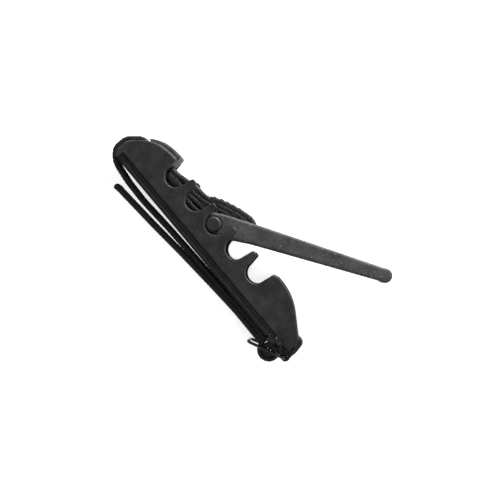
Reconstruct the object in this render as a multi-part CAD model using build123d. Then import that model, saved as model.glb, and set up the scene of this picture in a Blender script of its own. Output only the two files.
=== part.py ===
"""Toggle capo for a guitar neck, lying on the flat back of its moulded body.

Frame: +X runs along the body from the strap's wrap to the buckle, +Y points from
the fret pad to the notches, +Z points up through the thickness. The origin is on
the back face, in the web under the middle notch. Units are millimetres.
"""
import math
import os

from build123d import *

# ---- moulded body -----------------------------------------------------------
THICKNESS = 14.0  # over both side walls
WALL = 1.7  # one side wall
EDGE_ROUND = 0.25  # softened outer edges of the side walls
BODY_LEFT = -34.0
BODY_RIGHT = 39.9
WALL_BOTTOM = -2.0  # lower edge of the side walls, where the pad starts
FLOOR_TOP = 0.6  # floor of the channel between the walls
FLOOR_END = 33.4  # the floor stops here and leaves a slot for the webbing loop
CROSS_WALL_START = 38.2  # the cross wall is the bar that the webbing loop goes round
CROSS_WALL_END = 39.7
CROSS_WALL_BOTTOM = -1.85
CROSS_WALL_TOP = 1.6
CROSS_WALL_ROUND = 0.7
NOSE_REACH = 0.6  # the nose between the walls stands past the left end
NOSE_BOTTOM = -4.05
NOSE_WALL = 1.8
BED_FOOT = -21.0  # the solid left end stops here, just before the first notch
STRAP_BED_TOP = 4.0  # solid part under the strap in the left horn
ROOF_LEFT = -31.0
ROOF_RIGHT = -20.9
ROOF_BOTTOM = 6.1  # underside of the bridge over the strap in the left horn
ROOF_TOP = 9.7  # the bridge is crowned and stands above the side walls
ROOF_CORNER = 0.8
ROOF_CHAMFER = 0.5
HORN_TOP_LEFT = 8.25
HORN_TOP_RIGHT = 8.95

# ---- notches ----------------------------------------------------------------
NOTCH_COUNT = 5
NOTCH_PITCH = 8.75
NOTCH_RADIUS = 3.0
NOTCH_BOTTOM = 2.05
NOTCH_MIDDLE = NOTCH_BOTTOM + NOTCH_RADIUS
NOTCH_FLARE = 0.55  # each side of the notch leans out by this at the tooth tips
TOOTH_TIP = 8.5
TIP_ROUND = 0.6

# ---- pad --------------------------------------------------------------------
PAD_FACE = -4.25
CORE_FACE = -3.1  # the pad's stiff core ends and the rubber starts
PAD_LEFT = -32.1
PAD_RIGHT = 32.9
PAD_CORNER = 0.5
PAD_BUCKLE_CORNER = 0.8  # rounder where the strap leaves the pad
CORE_LEFT = -30.1
PAD_SIDE_GAP = 0.3  # the rubber is this much narrower than the body, each side
CORE_SIDE_GAP = 0.6
GLUE_GAP = 0.02
STOP_REACH = -5.1  # the forked stop stands this low beside the strap
TINE = 2.5

# ---- pin and lever ----------------------------------------------------------
PIN_RADIUS = 2.2
PIN_PLACE = (-0.55, 4.55)  # it rests against the left of the middle notch
PIN_CHAMFER = 0.45
BORE_CLEARANCE = 0.05
LEVER_ANGLE = 33.0  # degrees above the body, as stored
LEVER_WIDTH = 10.2
FORK_ARM = 1.5
HEAD_RADIUS = 3.4
WEB_START = 11.5  # the two fork arms join here, measured from the pin
HANDLE_END = 52.0
STRAP_BAR_ALONG = 8.75
STRAP_BAR_OFFSET = 2.5
STRAP_BAR_RADIUS = 1.2
POCKET_DEPTH = 0.9
BAR_END_GAP = 0.05
EYE_TILT = -10.0  # degrees, the webbing's eye round the bar

# ---- webbing ----------------------------------------------------------------
STRAP_THICK = 1.15
LOOP_THICK = 0.7
STRAP_WIDTH = 6.6
LEAD_SLOPE = 0.383
LEAD_LEVEL = 12.03
LEAD_END = -7.7
STITCH_COUNT = 5
STITCH_PITCH = 1.7
STITCH_START = -6.6
STITCH_HEIGHT = 0.28
STITCH_LONG = 1.2  # each row of thread seen along the strap
STITCH_SIDE_GAP = 0.4

# ---- wire slide and end pin -------------------------------------------------
SLIDE_CENTRE = (36.3, -6.3)
SLIDE_TILT = 25.0  # degrees
WIRE_RADIUS = 0.5
WIRE_CORNER = 0.7
SLIDE_LEFT_BAR = -6.2
SLIDE_RIGHT_BAR = 5.1
RAIL_SPACING = 7.9
ROLLER_RADIUS = 2.05
ROLLER_BORE = 0.6
ROLLER_SIDE_GAP = 0.15
WRAP_RADIUS = 2.7  # centre line of the strap round the roller
END_PIN_CENTRE = (36.3, -2.0)
END_PIN_RADIUS = 0.66
END_PIN_HOLE = 0.7
EAR_RADIUS = 1.25
END_PIN_INSET = 0.15

MID_Z = THICKNESS / 2
CHANNEL_LOW = WALL
CHANNEL_HIGH = THICKNESS - WALL


def slab(sketch, low, high):
    """A flat sketch made solid between two heights."""
    return extrude(Pos(0, 0, low) * sketch, high - low)


def outline(*edges):
    return make_face(Curve() + list(edges))


def polygon(points):
    return make_face(Polyline(*points, close=True))


def block(x_low, x_high, y_low, y_high):
    centre = Pos((x_low + x_high) / 2, (y_low + y_high) / 2)
    return centre * Rectangle(x_high - x_low, y_high - y_low)


def slide_point(along, normal):
    """A point given along and across the tilted slide."""
    turn = math.radians(SLIDE_TILT)
    return (
        SLIDE_CENTRE[0] + along * math.cos(turn) - normal * math.sin(turn),
        SLIDE_CENTRE[1] + along * math.sin(turn) + normal * math.cos(turn),
    )


def lever_point(along, normal):
    """A point given along and across the lever, from the pin's axis."""
    turn = math.radians(LEVER_ANGLE)
    return (
        PIN_PLACE[0] + along * math.cos(turn) - normal * math.sin(turn),
        PIN_PLACE[1] + along * math.sin(turn) + normal * math.cos(turn),
    )


# ---- body -------------------------------------------------------------------
def horn_outline():
    """Side view of the body before the notches are cut."""
    nose_corner = (BODY_LEFT, -2.2)
    nose_tip = (-32.75, NOSE_BOTTOM)
    nose_inside = (BODY_LEFT + NOSE_WALL, NOSE_BOTTOM)
    left_shoulder = (BODY_LEFT, 0.75)
    left_brow = (-26.5, 7.5)
    left_top = (-20.2, HORN_TOP_LEFT)
    right_top = (21.5, 8.5)
    right_crown = (23.2, HORN_TOP_RIGHT)
    right_brow = (33.0, 6.25)
    right_slope = (38.6, 2.6)
    right_shoulder = (BODY_RIGHT, 0.9)
    return outline(
        Line(nose_inside, (BODY_LEFT + NOSE_WALL, WALL_BOTTOM)),
        Line((BODY_LEFT + NOSE_WALL, WALL_BOTTOM), (BODY_RIGHT, WALL_BOTTOM)),
        Line((BODY_RIGHT, WALL_BOTTOM), right_shoulder),
        ThreePointArc(right_shoulder, (39.55, 1.85), right_slope),
        Line(right_slope, right_brow),
        ThreePointArc(right_brow, (28.3, 8.32), right_crown),
        ThreePointArc(right_crown, (22.2, 8.85), right_top),
        Line(right_top, left_top),
        ThreePointArc(left_top, (-23.5, 8.1), left_brow),
        ThreePointArc(left_brow, (-31.2, 4.75), left_shoulder),
        Line(left_shoulder, nose_corner),
        ThreePointArc(nose_corner, (-33.6, -3.45), nose_tip),
        Line(nose_tip, nose_inside),
    )


def lean(height):
    """How far a tooth's flank has moved in at this height above the notch centres."""
    return NOTCH_FLARE * (height - NOTCH_MIDDLE) / (TOOTH_TIP - NOTCH_MIDDLE)


def tooth():
    """One tooth between two notches, with a rounded tip."""
    base = (NOTCH_PITCH - 2 * NOTCH_RADIUS) / 2
    tip = base - NOTCH_FLARE
    shape = polygon([
        (-base, NOTCH_MIDDLE - NOTCH_RADIUS / 2),
        (base, NOTCH_MIDDLE - NOTCH_RADIUS / 2),
        (base, NOTCH_MIDDLE),
        (tip, TOOTH_TIP),
        (-tip, TOOTH_TIP),
        (-base, NOTCH_MIDDLE),
    ])
    top = [v for v in shape.vertices() if v.Y > TOOTH_TIP - 0.1]
    return fillet(top, TIP_ROUND)


def wall_profile():
    """Side view of one side wall, with its notches, teeth and end-pin ears."""
    last = (NOTCH_COUNT - 1) / 2 * NOTCH_PITCH
    above = HORN_TOP_RIGHT + 1
    half = last + NOTCH_RADIUS
    comb_gap = polygon([
        (-half, NOTCH_MIDDLE),
        (half, NOTCH_MIDDLE),
        (half + lean(above), above),
        (-half - lean(above), above),
    ])
    profile = horn_outline() - comb_gap
    for number in range(NOTCH_COUNT - 1):
        profile += Pos((number + 0.5) * NOTCH_PITCH - last, 0) * tooth()
    for number in range(NOTCH_COUNT):
        centre = (number * NOTCH_PITCH - last, NOTCH_MIDDLE)
        profile -= Pos(*centre) * Circle(NOTCH_RADIUS)
    profile += Pos(*END_PIN_CENTRE) * Circle(EAR_RADIUS)
    return profile - Pos(*END_PIN_CENTRE) * Circle(END_PIN_HOLE)


def left_nose():
    """The solid end that the strap wraps, between the two walls."""
    front = BODY_LEFT - NOSE_REACH
    front_high = (front, 0.2)
    front_low = (front, -1.6)
    chin = (-32.9, NOSE_BOTTOM)
    bed_start = (-31.0, STRAP_BED_TOP)
    bed_end = (BED_FOOT - 1.2, STRAP_BED_TOP)
    return outline(
        Polyline(
            chin,
            (BODY_LEFT + NOSE_WALL, NOSE_BOTTOM),
            (BODY_LEFT + NOSE_WALL, WALL_BOTTOM),
            (BED_FOOT, WALL_BOTTOM),
            (BED_FOOT, FLOOR_TOP),
            bed_end,
            bed_start,
        ),
        ThreePointArc(bed_start, (-33.4, 2.6), front_high),
        Line(front_high, front_low),
        ThreePointArc(front_low, (-34.1, -3.2), chin),
    )


def bridge():
    """The crowned top of the left horn, which the strap runs under."""
    foot = (ROOF_LEFT, ROOF_BOTTOM)
    crest = (ROOF_RIGHT, ROOF_TOP)
    profile = outline(
        ThreePointArc(foot, (-27.6, 8.6), crest),
        Polyline(crest, (ROOF_RIGHT, ROOF_BOTTOM), foot),
    )
    profile = fillet(profile.vertices().sort_by_distance(crest)[0], ROOF_CORNER)
    crown = slab(profile, CHANNEL_LOW, CHANNEL_HIGH)
    rims = crown.edges().filter_by(
        lambda e: abs(e.center().Z - MID_Z) > 1 and e.center().Y > ROOF_BOTTOM + 0.1
    )
    return chamfer(rims, ROOF_CHAMFER)


def comb_body():
    profile = wall_profile()
    back = slab(profile, 0, WALL)
    back = fillet(back.faces().sort_by(Axis.Z)[0].edges(), EDGE_ROUND)
    front = slab(profile, THICKNESS - WALL, THICKNESS)
    front = fillet(front.faces().sort_by(Axis.Z)[-1].edges(), EDGE_ROUND)
    floor = block(BED_FOOT, FLOOR_END, WALL_BOTTOM, FLOOR_TOP)
    cross = block(CROSS_WALL_START, CROSS_WALL_END, CROSS_WALL_BOTTOM, CROSS_WALL_TOP)
    cross = fillet(cross.vertices(), CROSS_WALL_ROUND)
    body = back + front + bridge()
    for sketch in (floor, left_nose(), cross):
        body += slab(sketch, CHANNEL_LOW, CHANNEL_HIGH)
    return body


# ---- pad --------------------------------------------------------------------
def pad_core():
    """Stiff strip behind the rubber, with a forked stop at its buckle end."""
    strip = block(CORE_LEFT, PAD_RIGHT, CORE_FACE, WALL_BOTTOM - GLUE_GAP)
    strip = slab(strip, CORE_SIDE_GAP, THICKNESS - CORE_SIDE_GAP)
    stop = polygon([
        (PAD_RIGHT - 0.3, WALL_BOTTOM - 0.1),
        (PAD_RIGHT + 1.9, WALL_BOTTOM - 0.1),
        (PAD_RIGHT + 3.0, PAD_FACE + 0.2),
        (PAD_RIGHT + 0.65, STOP_REACH),
        (PAD_RIGHT + 0.1, CORE_FACE),
        (PAD_RIGHT - 0.3, CORE_FACE),
    ])
    strip += slab(stop, CORE_SIDE_GAP, CORE_SIDE_GAP + TINE)
    strip += slab(stop, THICKNESS - CORE_SIDE_GAP - TINE, THICKNESS - CORE_SIDE_GAP)
    return strip


def fret_pad():
    face = block(PAD_LEFT, PAD_RIGHT, PAD_FACE, CORE_FACE - GLUE_GAP)
    lip = block(PAD_LEFT, CORE_LEFT - 0.05, PAD_FACE, WALL_BOTTOM - 0.05)
    profile = face + lip
    for place, size in ((PAD_LEFT, PAD_CORNER), (PAD_RIGHT, PAD_BUCKLE_CORNER)):
        corner = profile.vertices().sort_by_distance((place, PAD_FACE))[0]
        profile = fillet(corner, size)
    return slab(profile, PAD_SIDE_GAP, THICKNESS - PAD_SIDE_GAP)


# ---- lever ------------------------------------------------------------------
def lever_profile():
    """Side view of the lever along its own axis, from the pin's centre."""
    top_root = (1.0, 3.55)
    top_waist = (14.0, 3.4)
    top_end = (HANDLE_END - 2.7, 2.25)
    low_end = (HANDLE_END - 3.1, -1.6)
    low_waist = (11.0, -2.3)
    low_root = (4.6, -2.9)
    handle = outline(
        Polyline(low_root, (0, -2.0), (0, 2.0), top_root, top_waist, top_end),
        ThreePointArc(top_end, (HANDLE_END, 0.45), low_end),
        Polyline(low_end, low_waist, low_root),
    )
    return handle + Circle(HEAD_RADIUS)


def toggle_lever():
    low = MID_Z - LEVER_WIDTH / 2
    high = MID_Z + LEVER_WIDTH / 2
    lever = slab(lever_profile(), low, high)
    rims = lever.edges().filter_by(lambda e: abs(e.center().Z - low) < 0.01
                                   or abs(e.center().Z - high) < 0.01)
    lever = chamfer(rims, 0.45)
    gap = block(-6, WEB_START, -6, 8)
    lever -= slab(gap, low + FORK_ARM, high - FORK_ARM)
    lever -= slab(Circle(PIN_RADIUS + BORE_CLEARANCE), low - 1, high + 1)
    pocket = Pos(STRAP_BAR_ALONG, STRAP_BAR_OFFSET) * Circle(STRAP_BAR_RADIUS + 0.02)
    lever -= slab(pocket, low + FORK_ARM - POCKET_DEPTH, high - FORK_ARM + POCKET_DEPTH)
    return Pos(*PIN_PLACE) * Rot(0, 0, LEVER_ANGLE) * lever


def pivot_pin():
    pin = slab(Pos(*PIN_PLACE) * Circle(PIN_RADIUS), 0, THICKNESS)
    return chamfer(pin.edges().filter_by(GeomType.CIRCLE), PIN_CHAMFER)


def strap_bar():
    end = MID_Z - LEVER_WIDTH / 2 + FORK_ARM - POCKET_DEPTH + BAR_END_GAP
    place = Pos(*lever_point(STRAP_BAR_ALONG, STRAP_BAR_OFFSET))
    return slab(place * Circle(STRAP_BAR_RADIUS), end, THICKNESS - end)


# ---- webbing ----------------------------------------------------------------
def ribbon(points, radii, thick=STRAP_THICK, close=False):
    """Webbing laid along a path, seen from the side, and made solid."""
    path = FilletPolyline(*points, radius=radii, close=close)
    sketch = trace(path.edges(), thick)
    half = STRAP_WIDTH / 2
    return slab(sketch, MID_Z - half, MID_Z + half)


LEAD_START = (-21.05, 5.25)


def webbing_strap():
    """From the left horn round the nose, under the pad, round the roller, to the tail."""
    reach = WRAP_RADIUS
    points = [
        LEAD_START,
        (-32.4, 4.75),
        (-35.5, 1.0),
        (-35.5, -3.1),
        (-32.4, -5.55),
        (-26.0, -6.4),
        (-19.0, -6.62),
        (-8.0, -6.05),
        (4.0, -5.72),
        (14.0, -5.52),
        (22.0, -5.12),
        (32.2, -5.02),
        slide_point(reach, reach - 0.08),
        slide_point(reach, -reach),
        slide_point(-reach, -reach),
        slide_point(-reach, 1.0),
        (22.0, -6.42),
        (12.0, -6.95),
        (0.0, -7.72),
        (-12.0, -8.72),
        (-27.5, -9.72),
    ]
    turn = reach - 0.05
    radii = [3, 3, 3.2, 6, 20, 30, 40, 40, 20, 20, 4, 2.4, turn, turn, 1.3, 30, 40, 60, 60]
    return ribbon(points, radii)


def eye_point(along, normal):
    """A point given along and across the eye that goes round the lever's bar."""
    bar = lever_point(STRAP_BAR_ALONG, STRAP_BAR_OFFSET)
    turn = math.radians(EYE_TILT)
    return (
        bar[0] + along * math.cos(turn) - normal * math.sin(turn),
        bar[1] + along * math.sin(turn) + normal * math.cos(turn),
    )


def lead_line(x):
    """Height of the upper ply of the sewn lead."""
    return LEAD_LEVEL + LEAD_SLOPE * x


def strap_lead():
    """The end sewn round the lever's bar, and the folded ply sewn in under it."""
    round_bar = STRAP_BAR_RADIUS + 0.05 + STRAP_THICK / 2
    folded = ribbon(
        [
            LEAD_START,
            (-18.2, 5.376),
            (-12.0, 7.1),
            (-8.3, 7.5),
            eye_point(-5.5, -round_bar),
            eye_point(round_bar, -round_bar),
            eye_point(round_bar, round_bar),
            eye_point(-1.0, round_bar),
            (0.5, lead_line(0.5)),
            (LEAD_END, lead_line(LEAD_END)),
        ],
        [6, 5, 4, 3, 1.8, 1.8, 2, 10],
    )
    turned_under = ribbon(
        [
            (-1.4, 8.75),
            (-7.85, 6.3),
            (-12.6, 5.55),
            (-12.6, 4.2),
            (-8.5, 4.85),
            (-4.2, 5.15),
            (-4.2, 3.76),
            (-8.5, 3.4),
            (-14.0, 2.85),
            (-20.3, 3.4),
        ],
        [4, 0.66, 0.66, 10, 0.69, 0.69, 10, 20],
    )
    return [folded, turned_under]


def lead_stitches():
    """Rows of thread across the sewn part of the lead."""
    rows = []
    length = STRAP_WIDTH - 2 * STITCH_SIDE_GAP
    for number in range(STITCH_COUNT):
        x = STITCH_START + number * STITCH_PITCH
        lift = STRAP_THICK / 2 + STITCH_HEIGHT / 2 + 0.01
        base = Pos(x, lead_line(x), MID_Z) * Rot(0, 0, math.degrees(math.atan(LEAD_SLOPE)))
        rows.append(base * Pos(0, lift, 0) * Box(STITCH_LONG, STITCH_HEIGHT, length))
    return rows


def webbing_loop():
    """Closed loop that ties the slide to the end of the body."""
    bar = slide_point(SLIDE_RIGHT_BAR, 0)
    around = WIRE_RADIUS + 0.05 + LOOP_THICK / 2
    points = [
        (37.6, CROSS_WALL_TOP + 0.85),
        (40.45, CROSS_WALL_TOP + 0.45),
        (41.3, -0.6),
        (bar[0] + around + 0.2, bar[1] - around),
        (bar[0] - around + 0.3, bar[1] - around),
        (37.7, CROSS_WALL_BOTTOM + 0.15),
    ]
    return ribbon(points, [0.9, 1.5, 3, 0.9, 0.7, 1.5], LOOP_THICK, close=True)


# ---- slide, roller, end pin -------------------------------------------------
def wire(start, end):
    """A straight length of wire between two points of the slide's own plane."""
    axis = Vector(*end) - Vector(*start)
    plane = Plane(origin=start, z_dir=axis)
    return extrude(plane * Circle(WIRE_RADIUS), axis.length)


def wire_slide():
    """Wire frame with a centre bar for the roller."""
    half = RAIL_SPACING / 2
    bend = WIRE_CORNER
    left, right = SLIDE_LEFT_BAR, SLIDE_RIGHT_BAR
    frame = wire((0, 0, -half), (0, 0, half))
    for side in (-1, 1):
        frame += wire((left + bend, 0, side * half), (right - bend, 0, side * half))
    for end, way in ((left, 1), (right, -1)):
        frame += wire((end, 0, bend - half), (end, 0, half - bend))
        for side in (-1, 1):
            rail_end = (end + way * bend, 0, side * half)
            bar_end = (end, 0, side * (half - bend))
            frame += wire(rail_end, bar_end)
            frame += Pos(*rail_end) * Sphere(WIRE_RADIUS)
            frame += Pos(*bar_end) * Sphere(WIRE_RADIUS)
    place = Pos(SLIDE_CENTRE[0], SLIDE_CENTRE[1], MID_Z) * Rot(0, 0, SLIDE_TILT)
    return place * frame


def slide_roller():
    half = STRAP_WIDTH / 2 - ROLLER_SIDE_GAP
    ring = Circle(ROLLER_RADIUS) - Circle(ROLLER_BORE)
    return slab(Pos(*SLIDE_CENTRE) * ring, MID_Z - half, MID_Z + half)


def end_pin():
    place = Pos(*END_PIN_CENTRE)
    return slab(place * Circle(END_PIN_RADIUS), END_PIN_INSET, THICKNESS - END_PIN_INSET)


def write(name, shape):
    solids = shape if isinstance(shape, list) else [shape]
    shape = solids[0] if len(solids) == 1 else Compound(children=solids)
    export_step(shape, f"parts/{name}.step")


def main():
    os.makedirs("parts", exist_ok=True)
    for builder in (
        comb_body,
        pad_core,
        fret_pad,
        toggle_lever,
        pivot_pin,
        strap_bar,
        webbing_strap,
        strap_lead,
        lead_stitches,
        webbing_loop,
        wire_slide,
        slide_roller,
        end_pin,
    ):
        write(builder.__name__, builder())


main()
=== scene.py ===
"""Looks of the toggle capo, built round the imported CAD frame. Units are metres."""
import math

import bpy
import numpy as np
from mathutils import Matrix, Vector


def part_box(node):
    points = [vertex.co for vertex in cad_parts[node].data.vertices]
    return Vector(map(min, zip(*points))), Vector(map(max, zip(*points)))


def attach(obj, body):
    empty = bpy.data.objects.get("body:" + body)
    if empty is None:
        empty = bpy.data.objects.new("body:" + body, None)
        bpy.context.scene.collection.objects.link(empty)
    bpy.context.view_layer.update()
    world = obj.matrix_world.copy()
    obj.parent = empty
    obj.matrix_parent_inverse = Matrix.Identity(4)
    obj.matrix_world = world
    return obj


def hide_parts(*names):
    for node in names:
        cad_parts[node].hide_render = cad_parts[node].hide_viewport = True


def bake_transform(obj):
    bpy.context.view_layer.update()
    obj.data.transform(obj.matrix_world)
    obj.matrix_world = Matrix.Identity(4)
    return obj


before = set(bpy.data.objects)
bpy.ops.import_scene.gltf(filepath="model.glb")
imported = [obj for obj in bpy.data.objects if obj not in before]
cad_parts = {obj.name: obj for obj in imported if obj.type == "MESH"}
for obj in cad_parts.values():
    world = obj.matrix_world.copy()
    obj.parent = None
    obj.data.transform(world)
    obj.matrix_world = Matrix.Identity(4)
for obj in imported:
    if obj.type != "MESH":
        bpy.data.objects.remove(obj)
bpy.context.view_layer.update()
MM = 0.001

# ---- sizes read from the frame ------------------------------------------------
STRAP_LOW, STRAP_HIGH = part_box("webbing_strap")
STRAP_WIDTH = STRAP_HIGH[2] - STRAP_LOW[2]
STRAP_MID_Z = (STRAP_HIGH[2] + STRAP_LOW[2]) / 2
STRAP_THICK = 1.15 * MM
LOOP_THICK = 0.7 * MM
BODY_LOW, BODY_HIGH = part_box("comb_body")
FRONT_Z = BODY_HIGH[2]
FLOOR_GAP = 0.2 * MM

# ---- webbing and slide, in millimetres: the frame's own values unless a line says not ----
LEAD_START = (-21.05, 5.25)
SLIDE_CENTRE = (36.3, -6.3)
SLIDE_TILT = math.radians(25.0)
SLIDE_LEFT = -6.2
SLIDE_RIGHT = 5.1
RAIL_SPACING = 7.9
WIRE_RADIUS = 0.42  # thinner than the frame's wire, which is 0.5
WIRE_CORNER = 0.95  # bent round here, where the frame has a short straight length
WIRE_SIDES = 16
SLIDE_TWIST = 0.07  # near rail lower than the far one; the frame's slide is flat
WRAP_RADIUS = 2.7
PIN_CENTRE = (-0.55, 4.55)
LEVER_ANGLE = math.radians(33.0)
BAR_ALONG = 8.75
BAR_OFFSET = 2.5
BAR_RADIUS = 1.2
BAR_CENTRE = (
    PIN_CENTRE[0] + BAR_ALONG * math.cos(LEVER_ANGLE) - BAR_OFFSET * math.sin(LEVER_ANGLE),
    PIN_CENTRE[1] + BAR_ALONG * math.sin(LEVER_ANGLE) + BAR_OFFSET * math.cos(LEVER_ANGLE),
)
EYE_TILT = math.radians(-10.0)
LEAD_SLOPE = 0.383
LEAD_LEVEL = 12.03
LEAD_END = -7.7
LEAD_CUT = -8.6 * MM  # the lead is two pieces that meet here
STITCH_COUNT = 5
STITCH_PITCH = 1.7
STITCH_START = -6.6
STITCH_TURNS = 9
# the frame has a plain bar for each row of thread, so the zigzag is this script's own
STITCH_SWING = 0.34  # the zigzag's reach to each side
STITCH_WIDTH = 5.6
STITCH_STEPS = 6  # points from one turn to the next
THREAD_RADIUS = 0.13
THREAD_DIP = 0.16  # how far the thread goes in at its turns

# ---- plumpness: the webbing is made thicker here than the frame's -------------------
STRAP_PLUMP = 0.36  # extra share of its thickness, but for the turn round the roller
TIGHT_FROM_X = 34.2  # millimetres
LEAD_PLUMP = 1.4  # times its thickness
LEAD_MOUTH_PLUMP = 0.25  # added to that where the lead leaves the horn
LOOP_PLUMP = 1.15  # extra share of its thickness, on the loop's outer run
PUCKER = 0.6  # millimetres that the sewn ply stands up after a row of thread
PUCKER_PULL = 0.3  # millimetres that the thread pulls it down
END_DRAW = 0.75  # millimetres that the ply's end is drawn down

# ---- weave --------------------------------------------------------------------------
ARC_STEPS = 14  # points for each radian of an arc
STATION = 0.2 * MM
COLUMNS = 11  # warp yarns across the strap
COLUMN_STEPS = 3
EDGE_CURVE = 0.4 * MM
EDGE_ANGLES = [60, 30, 0, -30, -60]  # degrees, round each selvedge
END_ROUND = 0.5 * MM
WANDER = 0.03 * MM  # how much the strap's width varies along it
PICK = 1.15 * MM
YARN_RISE = 0.11 * MM
SELVEDGE_PITCH = 0.75 * MM
SELVEDGE_RISE = 0.06 * MM
TUBE_UP = Vector((0.11, 0.93, 0.35))  # lies along no wire or thread


# ---- small node helpers ---------------------------------------------------------
class Shader:
    """A principled material whose inputs are filled in by name."""

    def __init__(self, name):
        self.material = bpy.data.materials.new(name)
        self.material.use_nodes = True
        self.tree = self.material.node_tree
        self.shader = self.tree.nodes["Principled BSDF"]
        self.coords = self.add("ShaderNodeTexCoord").outputs["Object"]

    def add(self, kind, **values):
        """A new node, with each value set as a property or as an input."""
        node = self.tree.nodes.new(kind)
        for key, value in values.items():
            if hasattr(node, key) and key not in node.inputs:
                setattr(node, key, value)
            else:
                node.inputs[key].default_value = value
        return node

    def link(self, source, target):
        self.tree.links.new(source, target)

    def noise(self, scale, detail=4.0, rough=0.55):
        node = self.add("ShaderNodeTexNoise", Scale=scale, Detail=detail, Roughness=rough)
        self.link(self.coords, node.inputs["Vector"])
        return node.outputs["Fac"]

    def cells(self, scale):
        node = self.add("ShaderNodeTexVoronoi", Scale=scale)
        self.link(self.coords, node.inputs["Vector"])
        return node.outputs["Distance"]

    def spread(self, value, low, high, out_low=0.0, out_high=1.0):
        """A value's range from low to high, stretched over the range given for the output."""
        node = self.add("ShaderNodeMapRange")
        node.inputs["From Min"].default_value = low
        node.inputs["From Max"].default_value = high
        node.inputs["To Min"].default_value = out_low
        node.inputs["To Max"].default_value = out_high
        self.link(value, node.inputs["Value"])
        return node.outputs["Result"]

    def mix(self, factor, first, second):
        node = self.add("ShaderNodeMix", data_type="RGBA")
        for value, socket in ((first, node.inputs[6]), (second, node.inputs[7])):
            if isinstance(value, tuple):
                socket.default_value = (*value, 1.0)
            else:
                self.link(value, socket)
        self.link(factor, node.inputs[0])
        return node.outputs[2]

    def bump(self, heights):
        """Chains several (height, distance, strength) bumps into the shader's normal."""
        previous = None
        for height, distance, strength in heights:
            node = self.add("ShaderNodeBump", Distance=distance, Strength=strength)
            self.link(height, node.inputs["Height"])
            if previous is not None:
                self.link(previous, node.inputs["Normal"])
            previous = node.outputs["Normal"]
        self.link(previous, self.shader.inputs["Normal"])

    def set(self, **values):
        for key, value in values.items():
            self.shader.inputs[key.replace("_", " ")].default_value = value


def moulded_plastic(name, dark, light, speck, grain, speck_scale=2600.0):
    """Textured black plastic: fine grain, faint flow marks and light glass specks."""
    s = Shader(name)
    flow = s.spread(s.noise(260.0, 6.0, 0.6), 0.36, 0.66)
    base = s.mix(flow, dark, light)
    fine = s.noise(speck_scale, 3.0, 0.6)
    specks = s.spread(fine, 0.66, 0.76)
    s.link(s.mix(specks, base, speck), s.shader.inputs["Base Color"])
    roughness = s.spread(s.noise(900.0, 4.0), 0.3, 0.7, 0.48, 0.62)
    s.link(roughness, s.shader.inputs["Roughness"])
    grain_cells = s.cells(3800.0)
    dents = s.noise(320.0)
    s.bump([(grain_cells, grain, 0.5), (fine, grain * 1.4, 0.5), (dents, grain * 3, 0.25)])
    s.set(Specular_IOR_Level=0.16)
    return s.material


def rubber(name, dark, light):
    """Matt rubber with a slightly uneven skin."""
    s = Shader(name)
    tone = s.spread(s.noise(500.0, 6.0), 0.3, 0.7)
    s.link(s.mix(tone, dark, light), s.shader.inputs["Base Color"])
    roughness = s.spread(s.noise(1500.0, 4.0), 0.3, 0.7, 0.62, 0.85)
    s.link(roughness, s.shader.inputs["Roughness"])
    s.bump([(s.noise(2600.0, 5.0, 0.65), 0.03 * MM, 0.6), (s.noise(500.0), 0.06 * MM, 0.35)])
    s.set(Specular_IOR_Level=0.25)
    return s.material


def nylon(name, dark, light, fibre):
    """Yarn: fine fibres with a soft sheen, over the woven shape of the mesh."""
    s = Shader(name)
    tone = s.spread(s.noise(1400.0, 6.0, 0.7), 0.35, 0.7)
    base = s.mix(tone, dark, light)
    hairs = s.spread(s.noise(5200.0, 3.0, 0.6), 0.6, 0.72)
    s.link(s.mix(hairs, base, fibre), s.shader.inputs["Base Color"])
    roughness = s.spread(s.noise(2500.0), 0.3, 0.7, 0.45, 0.75)
    s.link(roughness, s.shader.inputs["Roughness"])
    s.bump([(s.noise(6500.0, 3.0, 0.7), 0.04 * MM, 0.8), (s.noise(1800.0, 4.0), 0.05 * MM, 0.5)])
    s.set(Sheen_Weight=0.05, Sheen_Roughness=0.4, Specular_IOR_Level=0.25)
    return s.material


def metal(name, colour, rough):
    """Metal with faint changes of tone and polish."""
    s = Shader(name)
    darker = tuple(c * 0.75 for c in colour)
    tone = s.spread(s.noise(700.0, 5.0), 0.3, 0.7)
    s.link(s.mix(tone, darker, colour), s.shader.inputs["Base Color"])
    roughness = s.spread(s.noise(2200.0, 4.0), 0.3, 0.7, rough * 0.7, rough * 1.4)
    s.link(roughness, s.shader.inputs["Roughness"])
    s.bump([(s.noise(3000.0, 2.0), 0.01 * MM, 0.3)])
    s.set(Metallic=1.0)
    return s.material


BODY = moulded_plastic(
    "body_plastic", dark=(0.014, 0.014, 0.0142), light=(0.03, 0.03, 0.0305),
    speck=(0.12, 0.12, 0.12), grain=0.04 * MM,
)
LEVER = moulded_plastic(
    "lever_plastic", dark=(0.04, 0.04, 0.041), light=(0.068, 0.068, 0.069),
    speck=(0.5, 0.5, 0.5), grain=0.08 * MM, speck_scale=1500.0,
)
PIN = moulded_plastic(
    "pin_plastic", dark=(0.018, 0.018, 0.0185), light=(0.026, 0.026, 0.0265),
    speck=(0.06, 0.06, 0.06), grain=0.03 * MM,
)
CORE = moulded_plastic(
    "core_plastic", dark=(0.016, 0.016, 0.0165), light=(0.026, 0.026, 0.0265),
    speck=(0.05, 0.05, 0.05), grain=0.02 * MM,
)
ROLLER = moulded_plastic(
    "roller_plastic", dark=(0.01, 0.01, 0.01), light=(0.018, 0.018, 0.018),
    speck=(0.04, 0.04, 0.04), grain=0.02 * MM,
)
RUBBER = rubber("pad_rubber", dark=(0.004, 0.004, 0.004), light=(0.009, 0.009, 0.009))
NYLON = nylon(
    "webbing_nylon", dark=(0.002, 0.002, 0.002), light=(0.018, 0.018, 0.0185),
    fibre=(0.1, 0.1, 0.1),
)
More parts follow.
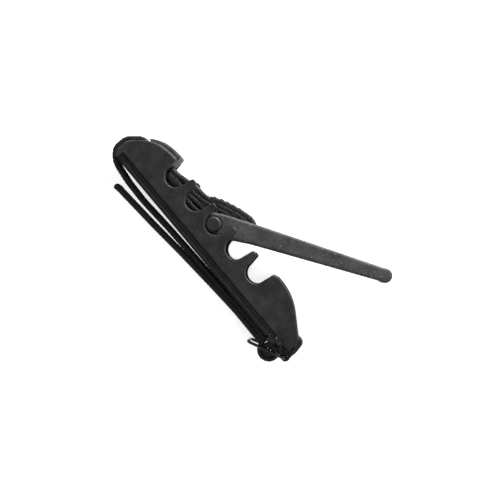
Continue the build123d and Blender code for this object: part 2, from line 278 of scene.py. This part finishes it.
THREAD = nylon(
    "thread_nylon", dark=(0.008, 0.008, 0.008), light=(0.02, 0.02, 0.02),
    fibre=(0.05, 0.05, 0.05),
)
# the metals are toned down, and are darker than clean plate or steel
CHROME = metal("chrome_wire", (0.06, 0.06, 0.061), 0.2)
STEEL = metal("plain_steel", (0.3, 0.3, 0.31), 0.35)
DARK_STEEL = metal("dark_steel", (0.05, 0.05, 0.052), 0.42)

for node, material in (("strap_bar", STEEL), ("end_pin", DARK_STEEL)):
    for material_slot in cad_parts[node].material_slots:
        material_slot.material = material


# ---- meshes -----------------------------------------------------------------------
def new_object(name, verts, faces, material):
    mesh = bpy.data.meshes.new(name)
    mesh.from_pydata([tuple(v) for v in verts], [], faces)
    mesh.materials.append(material)
    mesh.shade_smooth()
    obj = bpy.data.objects.new(name, mesh)
    bpy.context.scene.collection.objects.link(obj)
    return obj


def rounded(points, radii, closed=False):
    """A polyline with each corner turned into an arc, as closely spaced points."""
    points = [Vector(p) for p in points]
    count = len(points)
    corners = range(count) if closed else range(1, count - 1)
    line = [] if closed else [points[0]]
    for corner, radius in zip(corners, radii):
        here = points[corner]
        back = (points[corner - 1] - here).normalized()
        ahead = (points[(corner + 1) % count] - here).normalized()
        half = back.angle(ahead) / 2
        centre = here + (back + ahead).normalized() * radius / math.sin(half)
        reach = radius / math.tan(half)
        first = here + back * reach - centre
        last = here + ahead * reach - centre
        turn = math.atan2(first.x * last.y - first.y * last.x, first.dot(last))
        steps = max(3, int(abs(turn) * ARC_STEPS))
        for step in range(steps + 1):
            line.append(centre + Matrix.Rotation(turn * step / steps, 2) @ first)
    line.append(line[0] if closed else points[-1])
    return np.array([tuple(p) for p in line])


def resample(line, step):
    """Evenly spaced points on a polyline, with the distance of each from its start."""
    gaps = np.hypot(*np.diff(line, axis=0).T)
    keep = np.concatenate([[True], gaps > 1e-6])
    line = line[keep]
    along = np.concatenate([[0], np.cumsum(np.hypot(*np.diff(line, axis=0).T))])
    distance = np.linspace(0, along[-1], max(3, round(along[-1] / step)))
    return np.column_stack([np.interp(distance, along, line[:, k]) for k in (0, 1)]), distance


def section(thick):
    """Places round a strap's section: across, up, the outward way, and the yarn column."""
    flat = STRAP_WIDTH / 2 - EDGE_CURVE
    across = np.linspace(-flat, flat, COLUMNS * COLUMN_STEPS + 1)
    column = (across + flat) / (2 * flat) * COLUMNS
    places = [(w, 1.0, 0.0, 1.0, c) for w, c in zip(across, column)]
    edge = [(EDGE_CURVE * math.cos(a), math.sin(a)) for a in np.radians(EDGE_ANGLES)]
    places += [(flat + w, up, 1.0, 0.3 * up, -1.0) for w, up in edge]
    places += [(w, -1.0, 0.0, -1.0, c) for w, c in zip(across[::-1], column[::-1])]
    places += [(-flat - w, up, -1.0, 0.3 * up, -1.0) for w, up in edge[::-1]]
    return np.array(
        [(w, up * thick / 2, out_w, out_up, c) for w, up, out_w, out_up, c in places]
    )


def woven_rise(s, up, out_w, out_up, column):
    """How far the yarns stand out at each station along and place round the section."""
    yarn = np.abs(np.sin(np.pi * column)) ** 0.7
    phase = np.pi * np.floor(np.clip(column, 0, COLUMNS - 1e-6))
    phase = phase + np.where(out_up < 0, np.pi, 0)
    over = 0.5 + 0.5 * np.cos(2 * np.pi * s / PICK + phase)
    face = YARN_RISE * (yarn * (0.35 + 0.65 * over) - 0.5)
    loops = np.cos(2 * np.pi * s / SELVEDGE_PITCH + np.sign(up) * 1.3 + out_w)
    return np.where(column >= 0, face, SELVEDGE_RISE * (loops - 0.4))


def ribbon(centre, distance, thick, swell=1.0, weave=1.0, lift=None, closed=False):
    """Woven strap along a centre line, with swell, weave and lift given along it."""
    swell = np.broadcast_to(swell, distance.shape)
    weave = np.broadcast_to(weave, distance.shape)
    tangent = np.gradient(centre, distance, axis=0)
    if closed:
        tangent[0] = tangent[-1] = (tangent[0] + tangent[-1]) / 2
    tangent /= np.hypot(*tangent.T)[:, None]
    normal = np.column_stack([-tangent[:, 1], tangent[:, 0]])
    places = section(thick)
    across, up, out_w, out_up, column = places.T
    s = distance[:, None]
    rise = woven_rise(s, up, out_w, out_up, column) * weave[:, None]
    height = up * swell[:, None] + rise * out_up
    if lift is not None:
        topmost = np.sign(normal[:, 1:]) * out_up > 0.5
        height = height + lift(centre)[:, None] * out_up * topmost
    wander = WANDER * np.abs(np.sin(s * 900) + np.sin(s * 370 + 1))
    z = STRAP_MID_Z + across * (1 - wander / (STRAP_WIDTH / 2)) + rise * out_w
    x = centre[:, :1] + normal[:, :1] * height
    y = centre[:, 1:] + normal[:, 1:] * height
    verts = np.stack([x, y, z], axis=-1).reshape(-1, 3)
    stations, around = len(distance), len(places)
    faces = []
    for i in range(stations - 1):
        a, b = i * around, (i + 1) * around
        for j in range(around):
            k = (j + 1) % around
            faces.append((a + j, a + k, b + k, b + j))
    last = (stations - 1) * around
    if closed:
        faces = [tuple(v - last if v >= last else v for v in face) for face in faces]
        verts = verts[:last]
    else:
        faces.append(tuple(range(around))[::-1])
        faces.append(tuple(range(last, last + around)))
    return verts, faces


def joined(name, pieces, material):
    verts, faces = [], []
    for piece_verts, piece_faces in pieces:
        start = len(verts)
        verts.extend(piece_verts)
        faces.extend(tuple(v + start for v in face) for face in piece_faces)
    return new_object(name, verts, faces, material)


def tube(path, radius, closed=False, sides=10):
    """Round wire or thread along a path of 3-D points."""
    path = [Vector(p) for p in path]
    count = len(path)
    verts, faces = [], []
    for i, place in enumerate(path):
        before = path[i - 1] if closed or i else place
        after = path[(i + 1) % count] if closed or i < count - 1 else place
        way = (after - before).normalized()
        side = way.cross(TUBE_UP).normalized()
        above = side.cross(way)
        for k in range(sides):
            turn = 2 * math.pi * k / sides
            verts.append(place + (side * math.cos(turn) + above * math.sin(turn)) * radius)
    for i in range(count if closed else count - 1):
        a, b = i * sides, (i + 1) % count * sides
        for k in range(sides):
            faces.append((a + k, a + (k + 1) % sides, b + (k + 1) % sides, b + k))
    if not closed:
        faces.append(tuple(range(sides))[::-1])
        faces.append(tuple(range((count - 1) * sides, count * sides)))
    return verts, faces


def soften(node, body, voxel, passes, material):
    """A moulded copy of a CAD piece: the same shape with its edges rounded over."""
    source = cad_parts[node]
    mesh = bpy.data.meshes.new_from_object(source)
    mesh.name = f"{node}_moulded"
    mesh.materials.clear()
    mesh.materials.append(material)
    obj = bpy.data.objects.new(f"{node}_moulded", mesh)
    bpy.context.scene.collection.objects.link(obj)
    remesh = obj.modifiers.new("remesh", "REMESH")
    remesh.mode = "VOXEL"
    remesh.voxel_size = voxel
    smooth = obj.modifiers.new("smooth", "SMOOTH")
    smooth.factor = 0.5
    smooth.iterations = passes
    depsgraph = bpy.context.evaluated_depsgraph_get()
    final = bpy.data.meshes.new_from_object(obj.evaluated_get(depsgraph))
    obj.modifiers.clear()
    obj.data = final
    if not final.materials:
        final.materials.append(material)
    final.shade_smooth()
    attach(obj, body)
    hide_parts(node)


# ---- moulded pieces ---------------------------------------------------------------
soften("comb_body", "frame", 0.2 * MM, 5, BODY)
soften("toggle_lever", "lever", 0.2 * MM, 3, LEVER)
soften("pivot_pin", "pivot", 0.14 * MM, 3, PIN)
soften("fret_pad", "frame", 0.17 * MM, 5, RUBBER)
soften("pad_core", "frame", 0.17 * MM, 2, CORE)
soften("slide_roller", "roller", 0.12 * MM, 2, ROLLER)


# ---- webbing ----------------------------------------------------------------------
def slide_point(along, normal):
    """A point given along and across the tilted slide, in millimetres."""
    return (
        SLIDE_CENTRE[0] + along * math.cos(SLIDE_TILT) - normal * math.sin(SLIDE_TILT),
        SLIDE_CENTRE[1] + along * math.sin(SLIDE_TILT) + normal * math.cos(SLIDE_TILT),
    )


def eye_point(along, normal):
    """A point given along and across the eye round the lever's bar, in millimetres."""
    return (
        BAR_CENTRE[0] + along * math.cos(EYE_TILT) - normal * math.sin(EYE_TILT),
        BAR_CENTRE[1] + along * math.sin(EYE_TILT) + normal * math.cos(EYE_TILT),
    )


def lead_line(x):
    """Height of the lead's upper ply, drawn straight."""
    return LEAD_LEVEL + LEAD_SLOPE * x


def lead_top(x):
    """The upper ply: its sewn end is drawn down onto the ply below."""
    return lead_line(x) - END_DRAW * min(max((-3.0 - x) / 4.0, 0), 1)


def route(points, radii, closed=False):
    """A strap's centre line in metres, and the distance along it, from corners in mm."""
    return resample(rounded(points, radii, closed) * MM, STATION)


def sealed_end(distance, bulge, melt):
    """Heat-sealed end: it swells, then rounds off, and its weave melts flat."""
    left = distance[-1] - distance
    rounding = np.sqrt(np.clip(1 - (1 - np.clip(left / END_ROUND, 0, 1)) ** 2, 0.02, 1))
    swell = (1 + bulge * np.exp(-((left - 0.45 * melt) / (0.5 * melt)) ** 2)) * rounding
    return swell, np.clip(left / melt - 0.4, 0.1, 1)


def strap_run():
    """From the horn round the nose, under the pad, round the roller and back to the tail.

    The short fold between the two runs by the roller is one that the frame lacks.
    """
    wrap = WRAP_RADIUS
    points = [
        LEAD_START, (-32.4, 4.75), (-35.5, 1.0), (-35.5, -3.1), (-32.4, -5.55), (-26.0, -6.4),
        (-19.0, -6.62), (-8.0, -6.05), (4.0, -5.72), (14.0, -5.52), (22.0, -5.12), (32.2, -5.02),
        slide_point(wrap, wrap - 0.08), slide_point(wrap, -wrap), slide_point(-wrap, -wrap),
        slide_point(-wrap, 1.0), (22.0, -6.42), (12.0, -6.95), (0.0, -7.72), (-12.0, -8.72),
        (-27.5, -9.72),
    ]
    turn = wrap - 0.05
    radii = [3, 3, 3.2, 6, 20, 30, 40, 40, 20, 20, 4, 2.4, turn, turn, 1.3, 30, 40, 60, 60]
    line, distance = route(points, radii)
    swell, weave = sealed_end(distance, 0.16, 1.6 * MM)
    plump = 1 + STRAP_PLUMP * np.clip((TIGHT_FROM_X - line[:, 0] / MM) / 1.2, 0, 1)
    pieces = [ribbon(line, distance, STRAP_THICK, swell * plump, weave)]
    between, distance = route([(30.8, -5.75), (32.0, -5.75), (34.05, -5.65)], [2])
    pieces.append(ribbon(between, distance, STRAP_THICK, 0.9))
    strap = joined("strap_run", pieces, NYLON)
    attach(strap, "frame")
    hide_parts("webbing_strap")


def runs_beside(line, x_cut, left):
    """Index ranges of the stretches of a line that lie on one side of a cut."""
    inside = line[:, 0] <= x_cut if left else line[:, 0] >= x_cut
    ranges, start = [], None
    for i, flag in enumerate(inside):
        if flag and start is None:
            start = i
        if not flag and start is not None:
            ranges.append((max(start - (0 if left else 1), 0), i + 1))
            start = None
    if start is not None:
        ranges.append((start, len(inside)))
    return [pair for pair in ranges if pair[1] - pair[0] > 2]


def pucker(centre):
    """The upper ply stands up after each row of thread and slopes down to the next."""
    place = (centre[:, 0] / MM - STITCH_START) / STITCH_PITCH
    sewn = np.clip((place + 0.3) * 3, 0, 1) * np.clip((STITCH_COUNT - 0.3 - place) * 2, 0, 1)
    share = place % 1
    scallop = np.minimum(share * 4, 1) * (1 - 0.8 * share)
    high = centre[:, 1] / MM > lead_line(centre[:, 0] / MM) - 1.0
    return np.where(high, sewn * (PUCKER * scallop - PUCKER_PULL), 0) * MM


def lead_plies():
    """Each ply of the folded lead, with the bulge and melt of its sealed end.

    The under ply is longer than the frame's and bends a little differently.
    """
    gap = BAR_RADIUS + 0.05 + STRAP_THICK / MM / 2
    folded = route(
        [
            LEAD_START, (-18.2, 5.376), (-12.0, 7.1), (-8.3, 7.5),
            eye_point(-5.5, -gap), eye_point(gap, -gap), eye_point(gap, gap), eye_point(-1.0, gap),
            (0.5, lead_top(0.5)), (-4.0, lead_top(-4.0)), (LEAD_END + 0.5, lead_top(LEAD_END)),
        ],
        [6, 5, 4, 3, 1.8, 1.8, 2, 10, 10],
    )
    under = route(
        [
            (1.9, 9.95), (-1.4, 8.85), (-7.85, 6.3), (-12.6, 5.55), (-12.6, 4.2), (-8.5, 4.85),
            (-4.2, 5.15), (-4.2, 3.6), (-8.5, 3.05), (-12.6, 3.1), (-15.6, 3.75), (-20.3, 3.6),
        ],
        [6, 4, 0.66, 0.66, 10, 0.75, 0.75, 10, 6, 6],
    )
    return (folded, 0.05, 0.5 * MM), (under, 0.55, 7.0 * MM)


def lead_wedges():
    """Folds beside the bar and under the lead, thin at one end, which the frame lacks."""
    tongue = route([(-2.6, 10.4), (1.2, 11.25), (4.4, 11.9)], [4])
    tuck = route([(-7.6, 5.6), (-5.0, 6.45), (-2.5, 7.55)], [4])
    wedges = []
    for (line, distance), thin, thick in ((tongue, 0.5, 1.9), (tuck, 0.8, 1.3)):
        wedge = np.interp(distance / distance[-1], [0, 1], [thin, thick])
        wedges.append(ribbon(line, distance, STRAP_THICK, wedge))
    return wedges


def lead_pieces():
    """The lead, as two pieces that meet at the cut; nothing here bends them."""
    for name, left in (("lead_left", True), ("lead_right", False)):
        pieces = []
        for (line, distance), bulge, melt in lead_plies():
            swell, weave = sealed_end(distance, bulge, melt)
            x = line[:, 0] / MM
            mouth = np.clip((-10.0 - x) / 2, 0, 1) * np.clip((x + 20.5) / 1.5, 0, 1)
            swell = swell * (LEAD_PLUMP + LEAD_MOUTH_PLUMP * mouth)
            for first, last in runs_beside(line, LEAD_CUT, left):
                part = slice(first, last)
                pieces.append(ribbon(
                    line[part], distance[part], STRAP_THICK, swell[part], weave[part],
                    lift=pucker,
                ))
        if not left:
            pieces += lead_wedges()
        lead = joined(name, pieces, NYLON)
        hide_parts("strap_lead")
        bend_lead(lead, left)


def bend_lead(piece, left):
    """Bakes the piece's placement into its mesh, the same way on either side of the cut."""
    if left:
        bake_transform(piece)
    else:
        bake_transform(piece)


def sewing():
    """Each row is one thread that zigzags across the lead and dips in at its turns."""
    rows = []
    steps = STITCH_TURNS * STITCH_STEPS
    for row in range(STITCH_COUNT):
        x = STITCH_START + row * STITCH_PITCH
        path = []
        for step in range(steps + 1):
            share = step / steps
            swing = math.asin(math.sin(share * STITCH_TURNS * math.pi)) / (math.pi / 2)
            z = STRAP_MID_Z + (share - 0.5) * STITCH_WIDTH * MM
            across = x + STITCH_SWING * swing
            top = lead_top(across) + 0.6 * STRAP_THICK / MM - THREAD_DIP * swing ** 4
            path.append((across * MM, top * MM, z))
        rows.append(tube(path, THREAD_RADIUS * MM, sides=8))
    sewn = joined("lead_sewing", rows, THREAD)
    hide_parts("lead_stitches")
    bend_lead(sewn, left=False)


def tie_loop():
    """The loop that ties the slide to the body, and three short folds the frame lacks."""
    bar = slide_point(SLIDE_RIGHT, 0)
    around = WIRE_RADIUS + 0.05 + LOOP_THICK / MM / 2
    points = [
        (37.6, 2.45), (40.45, 2.05), (40.95, -0.6), (bar[0] + around + 0.2, bar[1] - around),
        (bar[0] - around + 0.3, bar[1] - around), (37.7, -1.7),
    ]
    line, distance = route(points, [0.9, 1.3, 3, 0.9, 0.7, 1.5], closed=True)
    past_body = np.clip((line[:, 0] / MM - 39.2) / 1.0, 0, 1)
    above_bar = np.clip((line[:, 1] / MM + 2.8) / 1.6, 0, 1)
    swell = 1 + LOOP_PLUMP * past_body * above_bar
    pieces = [ribbon(line, distance, LOOP_THICK, swell, closed=True)]
    for points, swell in (
        ([(38.8, -2.75), (40.0, -3.0), (40.95, -3.1)], 2.5),
        ([(37.3, -2.95), (38.0, -3.5), (39.2, -4.6), (40.3, -4.8)], 1.9),
        ([(39.5, -1.2), (40.5, -2.4)], 1.7),
    ):
        line, distance = route(points, [0.5] * (len(points) - 2))
        pieces.append(ribbon(line, distance, LOOP_THICK, swell))
    loop = joined("tie_loop", pieces, NYLON)
    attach(loop, "frame")
    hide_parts("webbing_loop")


# ---- wire slide ---------------------------------------------------------------------
def slide_wire():
    """One wire bent to a rounded frame, with a bar welded across it for the roller."""
    half = RAIL_SPACING / 2
    corners = [(SLIDE_LEFT, -half), (SLIDE_RIGHT, -half), (SLIDE_RIGHT, half), (SLIDE_LEFT, half)]
    outline = rounded(corners, [WIRE_CORNER] * 4, closed=True)[:-1]
    frame_line, _ = resample(np.vstack([outline, outline[:1]]), 0.15)

    def placed(along, across):
        x, y = slide_point(along, 0)
        y -= SLIDE_TWIST * across * abs(across) / half
        return (x * MM, y * MM, STRAP_MID_Z + across * MM)

    around = [placed(*point) for point in frame_line[:-1]]
    ring = tube(around, WIRE_RADIUS * MM, closed=True, sides=WIRE_SIDES)
    bar_steps = [(-1 + 2 * k / 16) * half for k in range(17)]
    bar = tube([placed(0, z) for z in bar_steps], (WIRE_RADIUS - 0.02) * MM, sides=WIRE_SIDES)
    welds = []
    for side in (-1, 1):
        for k in range(3):
            reach = half - 0.45 - 0.16 * k
            ends = [placed(0, side * reach), placed(0, side * (reach + 0.16))]
            welds.append(tube(ends, (WIRE_RADIUS + 0.14 - 0.05 * k) * MM, sides=WIRE_SIDES))
    slide = joined("slide_wire", [ring, bar, *welds], CHROME)
    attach(slide, "frame")
    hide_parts("wire_slide")


strap_run()
lead_pieces()
sewing()
tie_loop()
slide_wire()


# ---- stage, light, camera -------------------------------------------------------
CAMERA_UP = Vector((-0.766, 0.643, 0.0))
CAMERA_AIM = Vector((0.0116, 0.0078, FRONT_Z))
CAMERA_PLACE = Vector((0.026, 0.0152, FRONT_Z + 0.3))
LENS = 77.87


def look_at(obj, place, aim, up):
    """Place a camera or a light so that its -Z points at aim."""
    back = (place - aim).normalized()
    side = up.cross(back).normalized()
    above = back.cross(side)
    obj.matrix_world = Matrix.Translation(place) @ Matrix((side, above, back)).transposed().to_4x4()


def add_camera():
    camera = bpy.data.objects.new("camera", bpy.data.cameras.new("camera"))
    bpy.context.scene.collection.objects.link(camera)
    camera.data.lens = LENS
    camera.data.sensor_width = 36.0
    camera.data.clip_start = 0.005
    look_at(camera, CAMERA_PLACE, CAMERA_AIM, CAMERA_UP)
    bpy.context.scene.camera = camera


def add_softbox(name, place, aim, size, power):
    light = bpy.data.objects.new(name, bpy.data.lights.new(name, "AREA"))
    bpy.context.scene.collection.objects.link(light)
    light.data.shape = "RECTANGLE"
    light.data.size, light.data.size_y = size
    light.data.energy = power
    look_at(light, place, aim, Vector((0.3, 0.9, 0.1)))


def add_floor():
    half = 1.5
    mesh = bpy.data.meshes.new("floor")
    corners = [(-half, -half, 0), (half, -half, 0), (half, half, 0), (-half, half, 0)]
    mesh.from_pydata(corners, [], [(0, 1, 2, 3)])
    floor = bpy.data.objects.new("floor", mesh)
    floor.location.z = BODY_LOW[2] - FLOOR_GAP
    bpy.context.scene.collection.objects.link(floor)
    s = Shader("floor_white")
    s.set(
        Base_Color=(0.9, 0.9, 0.9, 1), Roughness=0.9,
        Emission_Color=(1, 1, 1, 1), Emission_Strength=0.7,
    )
    mesh.materials.append(s.material)


def add_world():
    world = bpy.data.worlds.new("studio")
    bpy.context.scene.world = world
    world.use_nodes = True
    background = world.node_tree.nodes["Background"]
    background.inputs[0].default_value = (1, 1, 1, 1)
    background.inputs[1].default_value = 0.4


bpy.context.scene.view_settings.view_transform = "Standard"
add_camera()
add_world()
add_floor()
centre = Vector((0.005, 0.01, 0.0))
add_softbox("key", centre + Vector((-0.12, 0.42, 0.05)), centre, (0.3, 0.04), 9.0)
add_softbox("fill", centre + Vector((0.25, 0.05, 0.3)), centre, (0.2, 0.2), 0.35)
